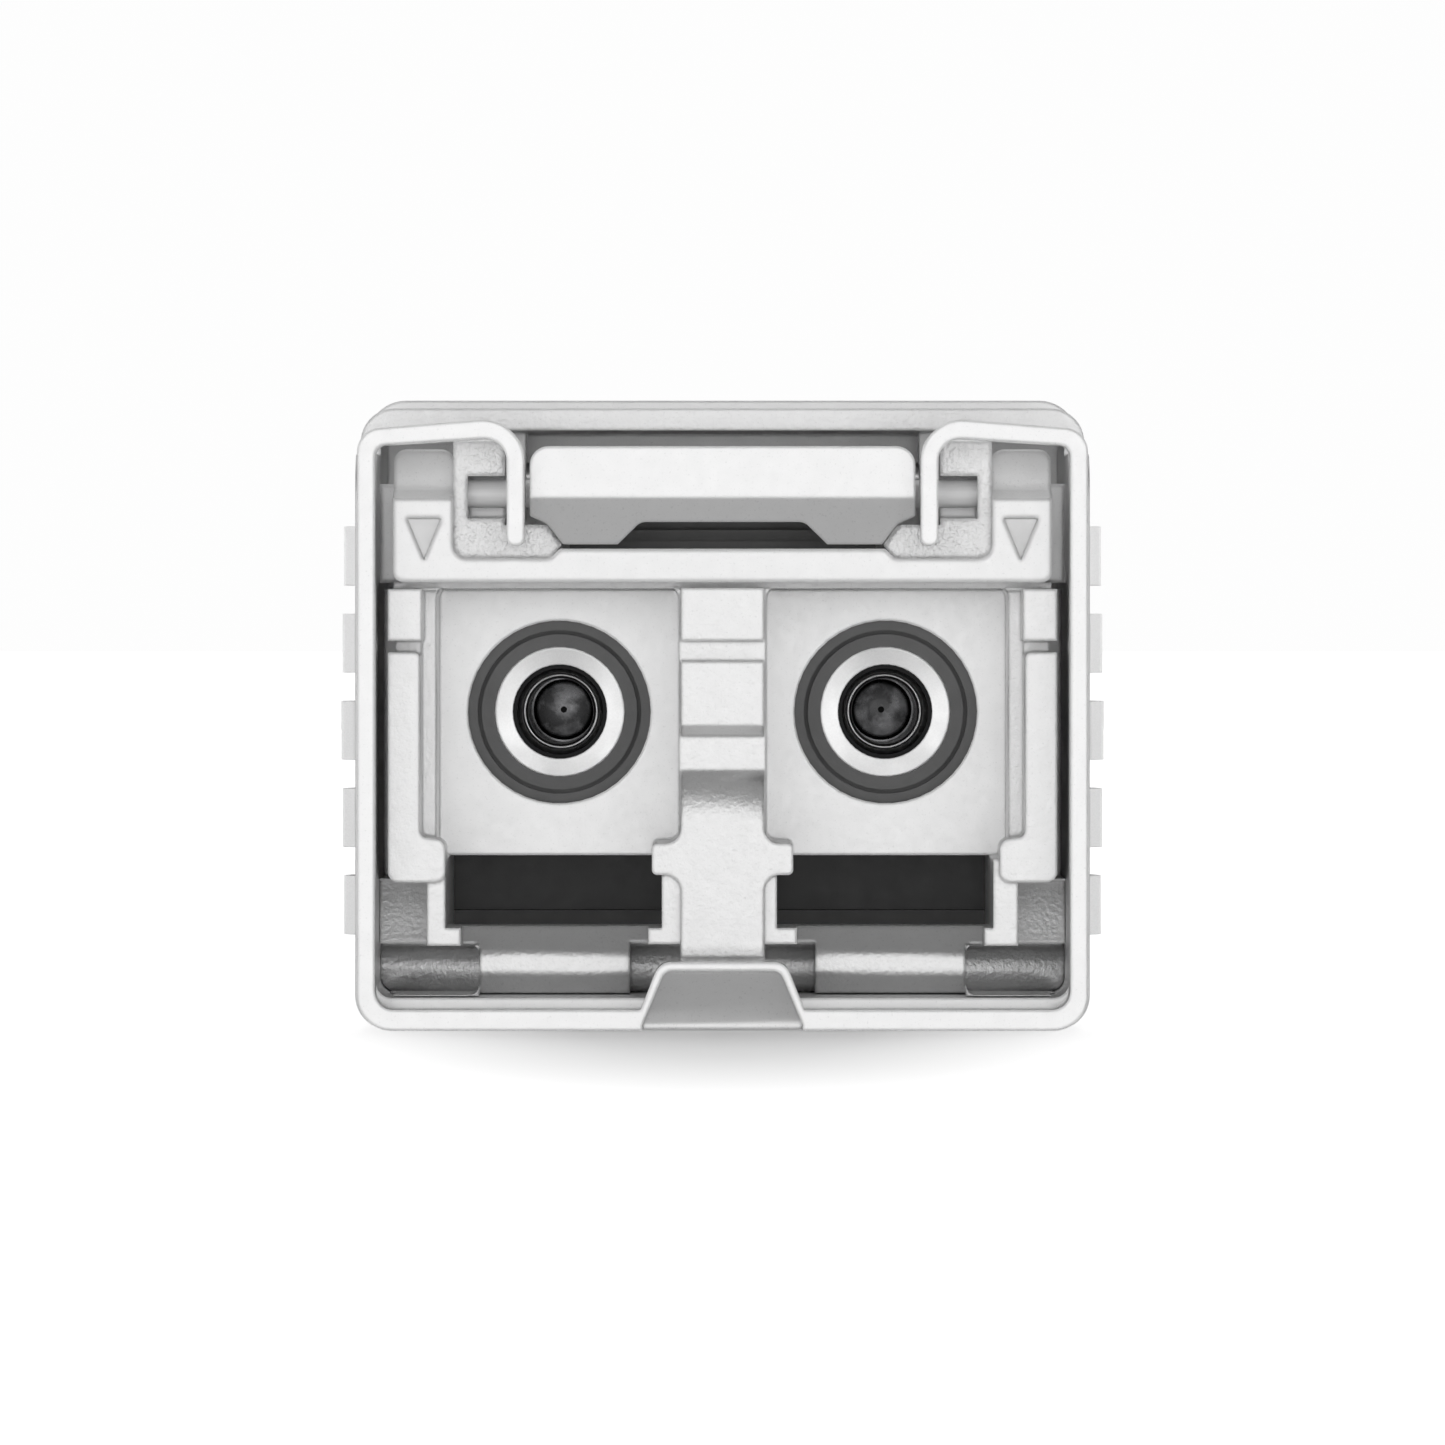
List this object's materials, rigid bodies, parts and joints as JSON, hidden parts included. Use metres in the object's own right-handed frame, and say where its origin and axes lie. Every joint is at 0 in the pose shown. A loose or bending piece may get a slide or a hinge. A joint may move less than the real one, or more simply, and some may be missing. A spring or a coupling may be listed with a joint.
{
  "type": "optical transceiver module",
  "caption": "Small pluggable optical transceiver module with duplex ferrule ports, a spring-finger shielding collar and a swinging bail that releases its latch.",
  "frame": {"origin": "centre of the bounding box, at its lowest level: the underside of the nose and of the bail", "axes": "-Y out of the ports towards the plugs, +Y towards the card edge, +X to the right seen from the front, +Z to the latch side"},
  "size_m": [0.015, 0.0564, 0.012],
  "materials": {
    "nose_casting": "nickel-plated zinc die casting, fine sandy texture",
    "shell_casting": "nickel-plated zinc die casting, satin",
    "bail_metal": "plated steel strip, satin",
    "lever_metal": "plated zinc casting, satin",
    "turned_steel": "turned stainless steel",
    "spring_steel": "plated spring steel",
    "can_metal": "plated steel can",
    "black_moulding": "black glass-filled moulding",
    "black_ring": "black, semi-gloss",
    "seal_rubber": "dark grey elastomer",
    "sleeve_ceramic": "dark polished ceramic",
    "stub_glass": "polished dark glass and ceramic end face",
    "polyimide_flex": "amber polyimide film",
    "board_laminate": "green solder mask",
    "gold_plating": "gold-plated pads",
    "chip_plastic": "black moulding compound",
    "passive_ceramic": "tan ceramic bodies",
    "thermal_rubber": "soft thermal pad",
    "label_film": "blank matt film"
  },
  "bodies": {
    "housing": {"nose_housing": "nose_casting", "latch_bracket": "nose_casting", "port_insert": "nose_casting", "osa_retainer": "black_moulding", "lever_stop": "black_moulding", "receive_barrel": "turned_steel", "transmit_barrel": "turned_steel", "receive_entry_ring": "black_ring", "transmit_entry_ring": "black_ring", "receive_port_seal": "seal_rubber", "transmit_port_seal": "seal_rubber", "receive_sleeve": "sleeve_ceramic", "transmit_sleeve": "sleeve_ceramic", "receive_fibre_stub": "stub_glass", "transmit_fibre_stub": "stub_glass", "receive_optical_can": "can_metal", "transmit_optical_can": "can_metal", "receive_flex_circuit": "polyimide_flex", "transmit_flex_circuit": "polyimide_flex", "base_shell": "shell_casting", "label_side_cover": "shell_casting", "cover_screws": "turned_steel", "blank_label": "label_film", "emi_collar": "spring_steel", "circuit_board": "board_laminate", "contact_pads": "gold_plating", "laser_driver": "chip_plastic", "limiting_amplifier": "chip_plastic", "microcontroller": "chip_plastic", "memory_chip": "chip_plastic", "passive_components": "passive_ceramic", "thermal_pad": "thermal_rubber", "lever_pivot_pin": "turned_steel", "lever_spring": "spring_steel"},
    "bail_assembly": {"bail": "bail_metal", "bail_cam_shaft": "turned_steel"},
    "lever_assembly": {"latch_lever": "lever_metal"}
  },
  "joints": [
    {"name": "bail_swing", "type": "hinge", "parent": "housing", "child": "bail_assembly", "pos_m": [0, -0.02645, 0.01009], "axis": [-1, 0, 0], "range_deg": [0, 90]},
    {"name": "lever_rock", "type": "hinge", "parent": "housing", "child": "lever_assembly", "pos_m": [0, -0.02175, 0.01045], "axis": [-1, 0, 0], "range_deg": [0, 6.5], "stiffness_Nm_per_rad": 0.0001, "deforming": ["lever_spring"]}
  ],
  "couplings": [
    {"joint": "lever_rock", "follows": "bail_swing", "ratio": 0.0722}
  ]
}
